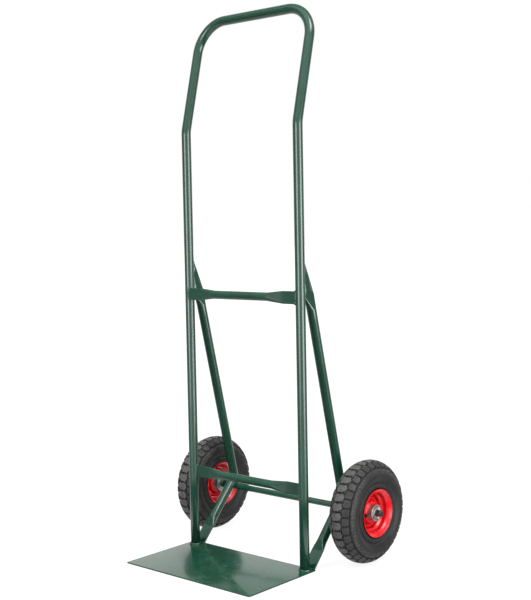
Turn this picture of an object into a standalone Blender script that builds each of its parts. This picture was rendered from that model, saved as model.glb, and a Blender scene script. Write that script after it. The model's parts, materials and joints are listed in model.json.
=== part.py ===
"""Two-wheeled hand truck: a welded round-tube frame with a toe plate and two pneumatic wheels.

Metres. +X is the right-hand side seen from the front, -Y is the front (toe plate), +Z is up.
The origin is on the underside of the toe plate, midway between the feet of the uprights.
"""

from math import atan2, copysign, cos, pi, sin, sqrt

import bmesh
import bpy
from mathutils import Matrix, Vector

# Fits
GAP = 0.0003                # between pieces that touch
RUNNING_GAP = 0.0006        # between the balls and the tracks they roll in

# Frame tube, bent into one U from foot to foot
TUBE_R = 0.0125
TUBE_WALL = 0.0015
UPRIGHT_SPACING = 0.385
KNEE_HEIGHT = 1.119
HANDLE_RISE = 0.289         # from the knees up to the handle
HANDLE_SETBACK = 0.070
KNEE_BEND_R = 0.075
CORNER_BEND_R = 0.082
PRESS_SLOT = 0.0006         # left between the walls of a flattened tube end

# Toe plate
PLATE_WIDTH = 0.428
PLATE_FRONT = 0.232
PLATE_BACK = 0.0185
PLATE_T = 0.003
PLATE_CORNER_R = 0.004

# Crossbars
BAR_R = 0.011
BAR_WALL = 0.0015
BAR_FLAT = 0.040
BAR_TAPER = 0.045
UPPER_BAR_HEIGHT = 0.687
UPPER_BAR_FORWARD = 0.009
LOWER_BAR_HEIGHT = 0.205

# Rear braces, from the backs of the uprights down to the axle
BRACE_R = 0.0125
BRACE_WALL = 0.0015
BRACE_FOOT_BEHIND = 0.007   # the brace's axis passes this far behind the axle's
BRACE_TOP_HEIGHT = 0.783
BRACE_FLAT = 0.093          # height of the flattened end
BRACE_TAPER = 0.030

# Lower braces, from the toe plate's rear edge up to the rear braces
STAY_R = 0.0125
STAY_WALL = 0.0015
STAY_FOOT_INSET = 0.001     # from the plate's rear edge to the brace's axis
STAY_TOP_ABOVE = 0.025      # it meets the rear brace this far above the axle
STAY_FLAT = 0.050
STAY_TAPER = 0.022

# Axle and what sits on it
AXLE_R = 0.0083
AXLE_BEHIND = 0.159
AXLE_CHAMFER = 0.0012
AXLE_BEYOND_PIN = 0.0097
SPACER_LENGTH = 0.0326      # from the rear brace to the wheel's inner washer
SPACER_WALL = 0.0025
WASHER_R = 0.0145
WASHER_T = 0.002
PIN_WIRE_R = 0.0009
PIN_FROM_WASHER = 0.0045
PIN_LEG = 0.0045            # below the axle
PIN_SPREAD = 0.0027         # from the middle out to each leg's tip
PIN_EYE_R = 0.0025

# Tyres and tubes
TYRE_R = 0.132
TYRE_WIDTH = 0.080
TYRE_CROWN_T = 0.010
TYRE_SIDE_T = 0.0055
TYRE_FLANK = 0.42           # radians below the widest point, where the flank turns in to the rim
BEAD_T = 0.008
TUBE_RUBBER_T = 0.0015

# Rims, each of two pressed halves
RIM_SEAT_R = 0.051
RIM_FLANGE = 0.010
RIM_INSIDE_TYRE = 0.005     # the tyre bulges this far past the rim
RIM_SHEET = 0.0018
RIM_DISH = 0.0155           # from the wheel's middle to the collar that holds the hub
RIM_COLLAR = 0.007
RIM_CONE = 0.0135           # from the hub out to where the two halves meet
RIM_FOLD = 0.0035

# Hub and bearings
HUB_LENGTH = 0.060
HUB_WALL = 0.003
HUB_STEP = 0.002            # the shoulder that each bearing rests on
BEARING_R = 0.0175
BEARING_WIDTH = 0.010
RACE_WALL = 0.00145
BALL_COUNT = 8
RACE_LAND = 0.75            # from the ball circle to a race's land, in ball radii
CAGE_HALF = 0.33            # half the cage ring's width and height, in ball radii

# Valve
VALVE_R = 0.0038
VALVE_OFFSET = 0.013        # outboard of the wheel's middle, where it leaves the rim
VALVE_BELOW_SEAT = 0.013
VALVE_BEND_R = 0.0075
VALVE_MOUTH = 0.002
VALVE_CAP_R = 0.0046
VALVE_CAP_TIP_R = 0.0039
VALVE_CAP_LENGTH = 0.009

# Facets
TUBE_SIDES = 16
TYRE_SIDES = 24
HUB_SIDES = 16
WIRE_SIDES = 12
CUTTER_SIZE = 0.2           # longer than any end that it cuts off

# Places that follow from the sizes above
DECK = PLATE_T + GAP        # what stands on the toe plate starts here
UPRIGHT_X = UPRIGHT_SPACING / 2
AXLE_POINT = Vector((0.0, AXLE_BEHIND, TYRE_R))
AXLE_BORE = AXLE_R + GAP
BRACE_SIDE = UPRIGHT_X + BRACE_R + GAP
INNER_WASHER = BRACE_SIDE + SPACER_LENGTH + GAP
HUB_IN = INNER_WASHER + WASHER_T + GAP
HUB_OUT = HUB_IN + HUB_LENGTH
OUTER_WASHER = HUB_OUT + GAP
PIN_OFFSET = OUTER_WASHER + WASHER_T + PIN_FROM_WASHER
AXLE_END = PIN_OFFSET + AXLE_BEYOND_PIN
WHEEL_OFFSET = (HUB_IN + HUB_OUT) / 2
RIM_LIP_R = RIM_SEAT_R + RIM_FLANGE
RIM_HALF_WIDTH = TYRE_WIDTH / 2 - RIM_INSIDE_TYRE
HUB_R = BEARING_R + GAP + HUB_WALL
BALL_CIRCLE = (AXLE_BORE + BEARING_R) / 2
BALL_TRACK = (BEARING_R - AXLE_BORE) / 2 - RACE_WALL
BALL_R = BALL_TRACK - RUNNING_GAP
VALVE_RADIUS = RIM_SEAT_R - VALVE_BELOW_SEAT

FINISHES = {
    "green_paint": ((0.018, 0.085, 0.052), 0.28, 0.0),
    "red_paint": ((0.70, 0.008, 0.012), 0.22, 0.0),
    "tyre_rubber": ((0.045, 0.045, 0.047), 0.75, 0.0),
    "tube_rubber": ((0.02, 0.02, 0.02), 0.6, 0.0),
    "zinc_steel": ((0.62, 0.63, 0.60), 0.35, 1.0),
    "bearing_steel": ((0.50, 0.51, 0.52), 0.25, 1.0),
    "cap_plastic": ((0.015, 0.015, 0.015), 0.4, 0.0),
}


def clear_scene():
    for thing in list(bpy.data.objects):
        bpy.data.objects.remove(thing)


def finish(name):
    material = bpy.data.materials.get(name) or bpy.data.materials.new(name)
    colour, roughness, metallic = FINISHES[name]
    material.use_nodes = True
    shader = material.node_tree.nodes["Principled BSDF"]
    shader.inputs["Base Color"].default_value = (*colour, 1.0)
    shader.inputs["Roughness"].default_value = roughness
    shader.inputs["Metallic"].default_value = metallic
    material.diffuse_color = (*colour, 1.0)
    return material


def add_object(name, bm, material, place=None):
    """Makes an object of a bmesh, shaded smooth with sharp edges kept."""
    bmesh.ops.recalc_face_normals(bm, faces=bm.faces)
    mesh = bpy.data.meshes.new(name)
    bm.to_mesh(mesh)
    bm.free()
    mesh.shade_smooth()
    mesh.set_sharp_from_angle(angle=pi / 5)
    thing = bpy.data.objects.new(name, mesh)
    bpy.context.scene.collection.objects.link(thing)
    mesh.materials.append(finish(material))
    thing.matrix_world = place or Matrix()
    return thing


def cut(thing, cutter, kind="DIFFERENCE"):
    cutter.hide_render = True
    cutter.display_type = "WIRE"
    boolean = thing.modifiers.new(cutter.name, "BOOLEAN")
    boolean.operation = kind
    boolean.object = cutter


def rod_cutter(name, start, end, radius, sides=TUBE_SIDES):
    """A plain rod between two points, for cutting."""
    bm = bmesh.new()
    bmesh.ops.create_cone(bm, cap_ends=True, segments=sides, radius1=radius, radius2=radius,
                          depth=(end - start).length)
    turn = Vector((0, 0, 1)).rotation_difference(end - start).to_matrix().to_4x4()
    return add_object(name, bm, "zinc_steel", Matrix.Translation((start + end) / 2) @ turn)


def trim(thing, name, point, towards):
    """Cuts away all of a piece that lies beyond a plane, on the side that a direction points to."""
    bm = bmesh.new()
    bmesh.ops.create_cube(bm, size=CUTTER_SIZE)
    turn = Vector((0, 0, 1)).rotation_difference(towards).to_matrix().to_4x4()
    place = Matrix.Translation(point + towards.normalized() * CUTTER_SIZE / 2) @ turn
    cut(thing, add_object(name, bm, "zinc_steel", place))


# ---- bent frame tube ----

class TubeBender:
    """Runs a hollow tube along straights and bends, as a bending machine does."""

    def __init__(self, start, heading, across, radius, wall, sides):
        self.bm = bmesh.new()
        self.point = start.copy()
        self.heading = heading.normalized()
        other = self.heading.cross(across)
        loops = []
        for ring in (radius, radius - wall):
            angles = [2 * pi * (k + 0.5) / sides for k in range(sides)]
            spokes = [across * cos(angle) + other * sin(angle) for angle in angles]
            corners = [self.bm.verts.new(start + spoke * ring) for spoke in spokes]
            loops += [self.bm.edges.new((corners[k - 1], corners[k])) for k in range(sides)]
        self.end = bmesh.ops.bridge_loops(self.bm, edges=loops)["faces"]

    def end_parts(self):
        """The end's faces and their edges: with its edges given, an extruded face leaves none behind."""
        return self.end + list({edge for face in self.end for edge in face.edges})

    def straight(self, length):
        grown = bmesh.ops.extrude_face_region(self.bm, geom=self.end_parts())["geom"]
        corners = [part for part in grown if isinstance(part, bmesh.types.BMVert)]
        bmesh.ops.translate(self.bm, verts=corners, vec=self.heading * length)
        self.end = [part for part in grown if isinstance(part, bmesh.types.BMFace)]
        self.point += self.heading * length

    def bend(self, towards, radius, angle, steps):
        axis = self.heading.cross(towards).normalized()
        centre = self.point + axis.cross(self.heading) * radius
        spun = bmesh.ops.spin(self.bm, geom=self.end_parts(), cent=centre, axis=axis, angle=angle,
                              steps=steps)
        self.end = [part for part in spun["geom_last"] if isinstance(part, bmesh.types.BMFace)]
        turn = Matrix.Rotation(angle, 3, axis)
        self.point = centre + turn @ (self.point - centre)
        self.heading = turn @ self.heading


def make_main_tube():
    tilt = atan2(HANDLE_SETBACK, HANDLE_RISE)
    slope = sqrt(HANDLE_SETBACK ** 2 + HANDLE_RISE ** 2)
    knee_cut = KNEE_BEND_R * sin(tilt / 2) / cos(tilt / 2)
    right, back = Vector((1, 0, 0)), Vector((0, 1, 0))
    foot = Vector((-UPRIGHT_X, 0, DECK))
    bender = TubeBender(foot, Vector((0, 0, 1)), right, TUBE_R, TUBE_WALL, TUBE_SIDES)
    leg = KNEE_HEIGHT - DECK - knee_cut
    arm = slope - knee_cut - CORNER_BEND_R
    bender.straight(leg)
    bender.bend(back, KNEE_BEND_R, tilt, 3)
    bender.straight(arm)
    along_arm = bender.heading.copy()
    bender.bend(right, CORNER_BEND_R, pi / 2, 6)
    bender.straight(UPRIGHT_SPACING - 2 * CORNER_BEND_R)
    bender.bend(-along_arm, CORNER_BEND_R, pi / 2, 6)
    bender.straight(arm)
    bender.bend(back, KNEE_BEND_R, tilt, 3)
    bender.straight(leg)
    return add_object("main_tube", bender.bm, "green_paint")


# ---- straight tubes with flattened ends ----

def tube_section(radius, wall, squeeze):
    """Half width and half height of the wall's middle line: 0 is round, 1 is pressed flat."""
    round_r = radius - wall / 2
    flat_r = (wall + PRESS_SLOT) / 2
    half_height = round_r + (flat_r - round_r) * squeeze
    half_width = half_height + (round_r - half_height) * pi / 2
    return half_width, half_height


def section_loop(bm, half_width, half_height, along):
    corners = []
    for k in range(TUBE_SIDES):
        angle = 2 * pi * (k + 0.5) / TUBE_SIDES
        side = copysign(half_width - half_height, cos(angle)) + half_height * cos(angle)
        corners.append(bm.verts.new((side, half_height * sin(angle), along)))
    return corners


def join_loops(bm, first, second):
    for k in range(len(first)):
        bm.faces.new((first[k - 1], first[k], second[k], second[k - 1]))


def pressed_tube(name, start, end, wide, radius, wall, flats, taper):
    """A straight tube whose ends are pressed flat, wide along one direction.

    flats gives the length of the flattened stretch at the start and at the end; 0 leaves the end round.
    """
    length = (end - start).length
    stations = [(0.0, 1.0 if flats[0] else 0.0)]
    for flat, base, way in ((flats[0], 0.0, 1), (flats[1], length, -1)):
        if flat:
            steps = [(flat + taper * share, 0.5 + 0.5 * cos(pi * share)) for share in (0, 0.5, 1)]
            stations += [(base + way * far, squeeze) for far, squeeze in steps[::way]]
    stations.append((length, 1.0 if flats[1] else 0.0))

    bm = bmesh.new()
    outer, inner = [], []
    for along, squeeze in stations:
        half_width, half_height = tube_section(radius, wall, squeeze)
        outer.append(section_loop(bm, half_width + wall / 2, half_height + wall / 2, along))
        inner.append(section_loop(bm, half_width - wall / 2, half_height - wall / 2, along))
    for k in range(1, len(stations)):
        join_loops(bm, outer[k - 1], outer[k])
        join_loops(bm, inner[k], inner[k - 1])
    join_loops(bm, inner[0], outer[0])
    join_loops(bm, outer[-1], inner[-1])

    heading = (end - start).normalized()
    third = heading.cross(wide).normalized()
    turn = Matrix((third.cross(heading), third, heading)).transposed().to_4x4()
    return add_object(name, bm, "green_paint", Matrix.Translation(start) @ turn)


def make_crossbar(name, height, forward):
    """Its flattened ends are cut to the uprights' round sides."""
    start = Vector((-UPRIGHT_X, -forward, height))
    end = Vector((UPRIGHT_X, -forward, height))
    flat = BAR_FLAT + sqrt(TUBE_R ** 2 - forward ** 2)
    up = Vector((0, 0, 1))
    bar = pressed_tube(name, start, end, up, BAR_R, BAR_WALL, (flat, flat), BAR_TAPER)
    for side in (-1, 1):
        middle = Vector((side * UPRIGHT_X, 0, height))
        low, high = middle - up * 4 * BAR_R, middle + up * 4 * BAR_R
        cut(bar, rod_cutter(f"{name}_cope_{side}", low, high, TUBE_R + GAP, TUBE_SIDES * 2))
        outer_half = Vector((side * (UPRIGHT_X - GAP), 0, height))
        trim(bar, f"{name}_end_{side}", outer_half, Vector((side, 0, 0)))


def brace_point(side, height):
    """On the rear brace's axis at a height. At its top the axis meets the upright's back."""
    foot = AXLE_BEHIND + BRACE_FOOT_BEHIND
    share = (height - AXLE_POINT.z) / (BRACE_TOP_HEIGHT - AXLE_POINT.z)
    return Vector((side * UPRIGHT_X, foot + (TUBE_R - foot) * share, height))


def make_rear_brace(name, side):
    start = brace_point(side, AXLE_POINT.z - BRACE_R)
    end = brace_point(side, BRACE_TOP_HEIGHT + BRACE_R)
    slant = (end - start).length / (end.z - start.z)
    flat_height = BRACE_TOP_HEIGHT - BRACE_FLAT
    flat = (end.z - flat_height) * slant
    wide = Vector((0, 1, 0))
    brace = pressed_tube(name, start, end, wide, BRACE_R, BRACE_WALL, (0, flat), BRACE_TAPER)
    behind_upright = Vector((side * UPRIGHT_X, TUBE_R + GAP, BRACE_TOP_HEIGHT))
    trim(brace, f"{name}_front_cut", behind_upright, Vector((0, -1, 0)))
    half_width = tube_section(BRACE_R, BRACE_WALL, 1)[0] + BRACE_WALL / 2
    rear_corner = brace_point(side, flat_height) + Vector((0, half_width, 0))
    cut_line = behind_upright - rear_corner
    trim(brace, f"{name}_slant_cut", behind_upright, Vector((0, cut_line.z, -cut_line.y)))
    middle = AXLE_POINT + Vector((side * UPRIGHT_X, 0, 0))
    trim(brace, f"{name}_foot_cut", middle, Vector((0, 0, -1)))
    reach = Vector((2 * BRACE_R, 0, 0))
    cut(brace, rod_cutter(f"{name}_saddle", middle - reach, middle + reach, AXLE_BORE, HUB_SIDES))


def make_lower_brace(name, side):
    foot = Vector((side * UPRIGHT_X, PLATE_BACK - STAY_FOOT_INSET, PLATE_T))
    meeting = brace_point(side, AXLE_POINT.z + STAY_TOP_ABOVE)
    heading = (meeting - foot).normalized()
    start = foot - heading * STAY_R
    wide = Vector((1, 0, 0))
    flat = STAY_FLAT + STAY_R
    stay = pressed_tube(name, start, meeting, wide, STAY_R, STAY_WALL, (flat, 0), STAY_TAPER)
    trim(stay, f"{name}_foot_cut", Vector((foot.x, foot.y, DECK)), Vector((0, 0, -1)))
    low = brace_point(side, AXLE_POINT.z - 4 * STAY_R)
    high = brace_point(side, meeting.z + 8 * STAY_R)
    cut(stay, rod_cutter(f"{name}_mitre", low, high, BRACE_R + GAP, TUBE_SIDES * 2))
    reach = Vector((2 * STAY_R, 0, 0))
    middle = AXLE_POINT + Vector((side * UPRIGHT_X, 0, 0))
    cut(stay, rod_cutter(f"{name}_saddle", middle - reach, middle + reach, AXLE_BORE, HUB_SIDES))


# ---- toe plate and axle ----

def make_toe_plate():
    bm = bmesh.new()
    bmesh.ops.create_cube(bm, size=1)
    depth = PLATE_FRONT + PLATE_BACK
    bmesh.ops.scale(bm, verts=bm.verts, vec=(PLATE_WIDTH, depth, PLATE_T))
    bmesh.ops.translate(bm, verts=bm.verts, vec=(0, PLATE_BACK - depth / 2, PLATE_T / 2))
    upright = [edge for edge in bm.edges if abs(edge.verts[0].co.z - edge.verts[1].co.z) > PLATE_T / 2]
    bmesh.ops.bevel(bm, geom=upright, offset=PLATE_CORNER_R, segments=4, profile=0.5, affect="EDGES")
    add_object("toe_plate", bm, "green_paint")


def turned(name, outline, material, place, sides=HUB_SIDES):
    """A closed outline of (along X, radius) points, turned about the X axis."""
    bm = bmesh.new()
    corners = [bm.verts.new((along, 0, radius)) for along, radius in outline]
    edges = [bm.edges.new((corners[k - 1], corners[k])) for k in range(len(corners))]
    bmesh.ops.spin(bm, geom=edges, cent=(0, 0, 0), axis=(1, 0, 0), angle=2 * pi, steps=sides, use_merge=True)
    return add_object(name, bm, material, Matrix.Translation(place))


def make_axle():
    outline = [(-AXLE_END, AXLE_R - AXLE_CHAMFER), (-AXLE_END + AXLE_CHAMFER, AXLE_R),
               (AXLE_END - AXLE_CHAMFER, AXLE_R), (AXLE_END, AXLE_R - AXLE_CHAMFER)]
    bm = bmesh.new()
    corners = [bm.verts.new((along, 0, radius)) for along, radius in outline]
    edges = [bm.edges.new(pair) for pair in zip(corners, corners[1:])]
    bmesh.ops.spin(bm, geom=edges, cent=(0, 0, 0), axis=(1, 0, 0), angle=2 * pi, steps=HUB_SIDES,
                   use_merge=True)
    bmesh.ops.holes_fill(bm, edges=[edge for edge in bm.edges if edge.is_boundary])
    axle = add_object("axle", bm, "green_paint", Matrix.Translation(AXLE_POINT))
    reach = Vector((0, 0, 2 * AXLE_R))
    hole = 2 * (PIN_WIRE_R + GAP)
    for side in (-1, 1):
        middle = AXLE_POINT + Vector((side * PIN_OFFSET, 0, 0))
        cut(axle, rod_cutter(f"axle_hole_{side}", middle - reach, middle + reach, hole, WIRE_SIDES))


# ---- wheels; along is the distance outboard of the wheel's middle ----

def wheel_centre(side):
    return AXLE_POINT + Vector((side * WHEEL_OFFSET, 0, 0))


def outboard(side, outline):
    return [(side * along, radius) for along, radius in outline]


def arc(centre, radii, first, last, steps):
    """Points along part of an ellipse, from the first angle to the last."""
    angles = [first + (last - first) * k / steps for k in range(steps + 1)]
    return [(centre[0] + radii[0] * cos(a), centre[1] + radii[1] * sin(a)) for a in angles]


def cavity(inset):
    """Middle radius and half axes of the air space's ellipse, drawn in by an inset."""
    top = TYRE_R - TYRE_CROWN_T
    return (top + RIM_SEAT_R) / 2, TYRE_WIDTH / 2 - TYRE_SIDE_T - inset, (top - RIM_SEAT_R) / 2 - inset


def bead_edges():
    """Outer and inner faces of a bead, outboard of the wheel's middle."""
    outer = RIM_HALF_WIDTH - 1.5 * RIM_SHEET - GAP
    return outer, outer - BEAD_T


def cavity_wall(inset):
    """The part of the ellipse that the tyre's inside follows, from bead to bead."""
    middle, half_width, half_height = cavity(inset)
    share = bead_edges()[1] / cavity(0)[1]
    start = -atan2(sqrt(1 - share ** 2), share)
    return start, arc((0, middle), (half_width, half_height), start, pi - start, 6)


def make_tyre(name, side):
    bead_out, bead_in = bead_edges()
    bead_r = RIM_SEAT_R + GAP
    widest = (TYRE_R + bead_r) / 2
    flank = arc((0, widest), (TYRE_WIDTH / 2, TYRE_R - widest), pi + TYRE_FLANK, -TYRE_FLANK, 8)
    above_lip = RIM_LIP_R + RIM_SHEET
    outline = cavity_wall(0)[1] + [(-bead_in, bead_r), (-bead_out, bead_r), (-bead_out, above_lip)]
    outline += flank + [(bead_out, above_lip), (bead_out, bead_r), (bead_in, bead_r)]
    return turned(name, outboard(side, outline), "tyre_rubber", wheel_centre(side), TYRE_SIDES)


def make_inner_tube(name, side):
    """It follows the tyre's inside and the rim, and stays open where the valve goes in."""
    rings = []
    for label, inset in ((name, GAP), (f"{name}_air", GAP + TUBE_RUBBER_T)):
        middle, half_width, half_height = cavity(inset)
        start, points = cavity_wall(inset)
        points += arc((0, middle), (half_width, half_height), pi - start, 2 * pi + start, 3)[1:-1]
        rings.append(turned(label, outboard(side, points), "tube_rubber", wheel_centre(side), TYRE_SIDES))
    tube, air = rings
    cut(tube, air)
    cut(tube, valve_bore(f"{name}_bore", side))


def valve_root():
    """Distance from the axle's axis to where the valve opens into the inner tube."""
    middle, half_width, half_height = cavity(GAP + TUBE_RUBBER_T)
    return middle - half_height * sqrt(1 - (VALVE_OFFSET / half_width) ** 2)


def valve_bore(name, side):
    """Rod along the valve's root, with a clearance all round."""
    centre = wheel_centre(side) + Vector((side * VALVE_OFFSET, 0, 0))
    near = centre - Vector((0, VALVE_RADIUS, 0))
    far = centre - Vector((0, valve_root() + VALVE_R, 0))
    return rod_cutter(name, near, far, VALVE_R + GAP, WIRE_SIDES)


def rim_outline():
    """Middle line of a rim half's sheet, from the hub out to the rolled lip."""
    half = RIM_SHEET / 2
    seam = half + GAP / 2
    barrel = RIM_SEAT_R - half
    flange = RIM_HALF_WIDTH - RIM_SHEET
    return [(RIM_DISH, HUB_R + GAP), (RIM_DISH, HUB_R + RIM_COLLAR), (seam, HUB_R + RIM_CONE),
            (seam, barrel - RIM_FOLD), (seam + RIM_FOLD, barrel), (flange, barrel), (flange, RIM_LIP_R)]


def make_rim_half(name, side, face):
    """face is 1 for the outboard half and -1 for the inboard one."""
    bm = bmesh.new()
    corners = [bm.verts.new((side * face * along, 0, radius)) for along, radius in rim_outline()]
    edges = [bm.edges.new(pair) for pair in zip(corners, corners[1:])]
    bmesh.ops.spin(bm, geom=edges, cent=(0, 0, 0), axis=(1, 0, 0), angle=2 * pi, steps=TYRE_SIDES,
                   use_merge=True)
    half = add_object(name, bm, "red_paint", Matrix.Translation(wheel_centre(side)))
    sheet = half.modifiers.new("sheet", "SOLIDIFY")
    sheet.thickness = RIM_SHEET
    sheet.offset = 0
    sheet.use_even_offset = True
    if face > 0:
        cut(half, valve_bore(f"{name}_bore", side))


def round_wire(name, points, radius, material, place):
    """A round rod through a list of points."""
    curve = bpy.data.curves.new(name, "CURVE")
    curve.dimensions = "3D"
    curve.bevel_depth = radius
    curve.bevel_resolution = 1
    curve.use_fill_caps = True
    line = curve.splines.new("POLY")
    line.points.add(len(points) - 1)
    for point, place_on_line in zip(line.points, points):
        point.co = (*place_on_line, 1)
    wire = bpy.data.objects.new(name, curve)
    bpy.context.scene.collection.objects.link(wire)
    curve.materials.append(finish(material))
    wire.location = place


def make_valve(name, side):
    """A rubber stem that leaves the rim towards the axle and turns outboard. Returns its mouth's place."""
    mouth = VALVE_OFFSET + VALVE_BEND_R + VALVE_MOUTH
    turn = (VALVE_OFFSET + VALVE_BEND_R, VALVE_RADIUS + VALVE_BEND_R)
    bend = arc(turn, (-VALVE_BEND_R, -VALVE_BEND_R), 0, pi / 2, 5)
    route = [(VALVE_OFFSET, valve_root())] + bend + [(mouth, VALVE_RADIUS)]
    points = [(side * along, -radius, 0) for along, radius in route]
    round_wire(name, points, VALVE_R, "tube_rubber", wheel_centre(side))
    return mouth


def make_valve_cap(name, side, mouth):
    start = mouth + GAP
    end = start + VALVE_CAP_LENGTH
    bm = bmesh.new()
    bmesh.ops.create_cone(bm, cap_ends=True, segments=WIRE_SIDES, radius1=VALVE_CAP_R,
                          radius2=VALVE_CAP_TIP_R, depth=VALVE_CAP_LENGTH)
    turn = Matrix.Rotation(side * pi / 2, 4, "Y")
    place = wheel_centre(side) + Vector((side * (start + end) / 2, -VALVE_RADIUS, 0))
    return add_object(name, bm, "cap_plastic", Matrix.Translation(place) @ turn)


# ---- hub and bearings ----

def make_hub(name, side):
    end = HUB_LENGTH / 2
    pocket = end - BEARING_WIDTH - GAP
    bearing = BEARING_R + GAP
    shoulder = BEARING_R - HUB_STEP
    outline = [(-end, HUB_R), (end, HUB_R), (end, bearing), (pocket, bearing), (pocket, shoulder),
               (-pocket, shoulder), (-pocket, bearing), (-end, bearing)]
    return turned(name, outboard(side, outline), "zinc_steel", wheel_centre(side))


def bearing_centre(side, face):
    return wheel_centre(side) + Vector((side * face * (HUB_LENGTH - BEARING_WIDTH) / 2, 0, 0))


def make_races(side, face, label):
    half = BEARING_WIDTH / 2
    land = RACE_LAND * BALL_R
    first = atan2(land, sqrt(BALL_TRACK ** 2 - land ** 2))
    outer_track = arc((0, BALL_CIRCLE), (BALL_TRACK, BALL_TRACK), first, pi - first, 3)
    inner_track = [(along, 2 * BALL_CIRCLE - radius) for along, radius in outer_track]
    outer = [(-half, BEARING_R), (half, BEARING_R), (half, BALL_CIRCLE + land)] + outer_track
    outer += [(-half, BALL_CIRCLE + land)]
    inner = [(-half, AXLE_BORE), (half, AXLE_BORE), (half, BALL_CIRCLE - land)] + inner_track
    inner += [(-half, BALL_CIRCLE - land)]
    place = bearing_centre(side, face)
    turned(f"bearing_outer_race_{label}", outer, "bearing_steel", place)
    turned(f"bearing_inner_race_{label}", inner, "bearing_steel", place)


def make_ball_cage(side, face, label):
    """The balls and the cage ring that spaces them, as one piece."""
    half = CAGE_HALF * BALL_R
    low, high = BALL_CIRCLE - half, BALL_CIRCLE + half
    outline = [(-half, low), (half, low), (half, high), (-half, high)]
    cage = turned(f"ball_cage_{label}", outline, "bearing_steel", bearing_centre(side, face))
    for k in range(BALL_COUNT):
        turn = 2 * pi * k / BALL_COUNT
        bm = bmesh.new()
        bmesh.ops.create_icosphere(bm, subdivisions=1, radius=BALL_R)
        middle = bearing_centre(side, face) + Vector((0, cos(turn), sin(turn))) * BALL_CIRCLE
        cut(cage, add_object(f"ball_{label}_{k}", bm, "bearing_steel", Matrix.Translation(middle)), "UNION")


# ---- washers, spacers and split pins ----

def axle_ring(name, side, start, end, outer, material):
    """A plain ring on the axle between two distances from the middle of the truck."""
    outline = [(side * start, AXLE_BORE), (side * end, AXLE_BORE), (side * end, outer), (side * start, outer)]
    turned(name, outline, material, AXLE_POINT)


def make_axle_fittings(side, label):
    sleeve = AXLE_BORE + SPACER_WALL
    race = BEARING_WIDTH + GAP
    axle_ring(f"axle_spacer_{label}", side, BRACE_SIDE, BRACE_SIDE + SPACER_LENGTH, sleeve, "green_paint")
    axle_ring(f"washer_inner_{label}", side, INNER_WASHER, INNER_WASHER + WASHER_T, WASHER_R, "zinc_steel")
    axle_ring(f"hub_spacer_{label}", side, HUB_IN + race, HUB_OUT - race, sleeve, "zinc_steel")
    axle_ring(f"washer_outer_{label}", side, OUTER_WASHER, OUTER_WASHER + WASHER_T, WASHER_R, "zinc_steel")


def make_split_pin(name, side):
    """Bent from one wire: an eye above the axle and two legs, spread below it."""
    leg = PIN_WIRE_R + GAP / 2
    foot = AXLE_R + PIN_LEG
    eye_z = AXLE_R + PIN_WIRE_R + GAP + 1.5 * PIN_EYE_R
    half = [(PIN_SPREAD, -foot), (leg, -AXLE_R - PIN_WIRE_R), (leg, AXLE_R - PIN_WIRE_R)]
    eye = arc((0, eye_z), (PIN_EYE_R, PIN_EYE_R), -pi / 4, pi + pi / 4, 8)
    route = half + eye + [(-across, up) for across, up in reversed(half)]
    place = AXLE_POINT + Vector((side * PIN_OFFSET, 0, 0))
    round_wire(name, [(0, across, up) for across, up in route], PIN_WIRE_R, "zinc_steel", place)


def make_wheel(side, label):
    make_tyre(f"tyre_{label}", side)
    make_inner_tube(f"inner_tube_{label}", side)
    make_rim_half(f"rim_outboard_{label}", side, 1)
    make_rim_half(f"rim_inboard_{label}", side, -1)
    mouth = make_valve(f"valve_stem_{label}", side)
    make_valve_cap(f"valve_cap_{label}", side, mouth)
    make_hub(f"hub_sleeve_{label}", side)
    for face, place in ((1, "outboard"), (-1, "inboard")):
        make_races(side, face, f"{place}_{label}")
        make_ball_cage(side, face, f"{place}_{label}")
    make_axle_fittings(side, label)
    make_split_pin(f"split_pin_{label}", side)


clear_scene()
make_main_tube()
make_toe_plate()
make_crossbar("crossbar_upper", UPPER_BAR_HEIGHT, UPPER_BAR_FORWARD)
make_crossbar("crossbar_lower", LOWER_BAR_HEIGHT, 0.0)
make_axle()
for wheel_side, wheel_label in ((-1, "left"), (1, "right")):
    make_rear_brace(f"rear_brace_{wheel_label}", wheel_side)
    make_lower_brace(f"lower_brace_{wheel_label}", wheel_side)
    make_wheel(wheel_side, wheel_label)
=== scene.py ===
import json
from math import atan2, copysign, cos, hypot, pi, radians, sin, tan

import bmesh
import bpy
from mathutils import Matrix, Vector


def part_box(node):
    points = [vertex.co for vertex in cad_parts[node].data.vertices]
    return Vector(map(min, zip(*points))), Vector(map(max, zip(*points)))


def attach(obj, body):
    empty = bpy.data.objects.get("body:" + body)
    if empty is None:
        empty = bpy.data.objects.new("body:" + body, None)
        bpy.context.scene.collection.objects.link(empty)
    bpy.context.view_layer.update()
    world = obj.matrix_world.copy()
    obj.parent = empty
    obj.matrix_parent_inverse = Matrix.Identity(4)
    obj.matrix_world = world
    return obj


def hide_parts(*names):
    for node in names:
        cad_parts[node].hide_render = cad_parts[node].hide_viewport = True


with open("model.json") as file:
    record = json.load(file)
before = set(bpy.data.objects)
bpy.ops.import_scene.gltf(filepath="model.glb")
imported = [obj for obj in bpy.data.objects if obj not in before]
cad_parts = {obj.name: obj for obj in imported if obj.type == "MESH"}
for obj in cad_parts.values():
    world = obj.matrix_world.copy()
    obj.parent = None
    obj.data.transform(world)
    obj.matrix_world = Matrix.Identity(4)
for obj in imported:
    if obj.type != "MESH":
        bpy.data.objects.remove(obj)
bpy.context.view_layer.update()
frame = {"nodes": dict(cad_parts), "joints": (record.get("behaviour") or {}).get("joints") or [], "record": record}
print("stage: frame loaded,", len(frame["nodes"]), "nodes")


def middleOf(node):
    low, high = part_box(node)
    return (low + high) / 2


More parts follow.
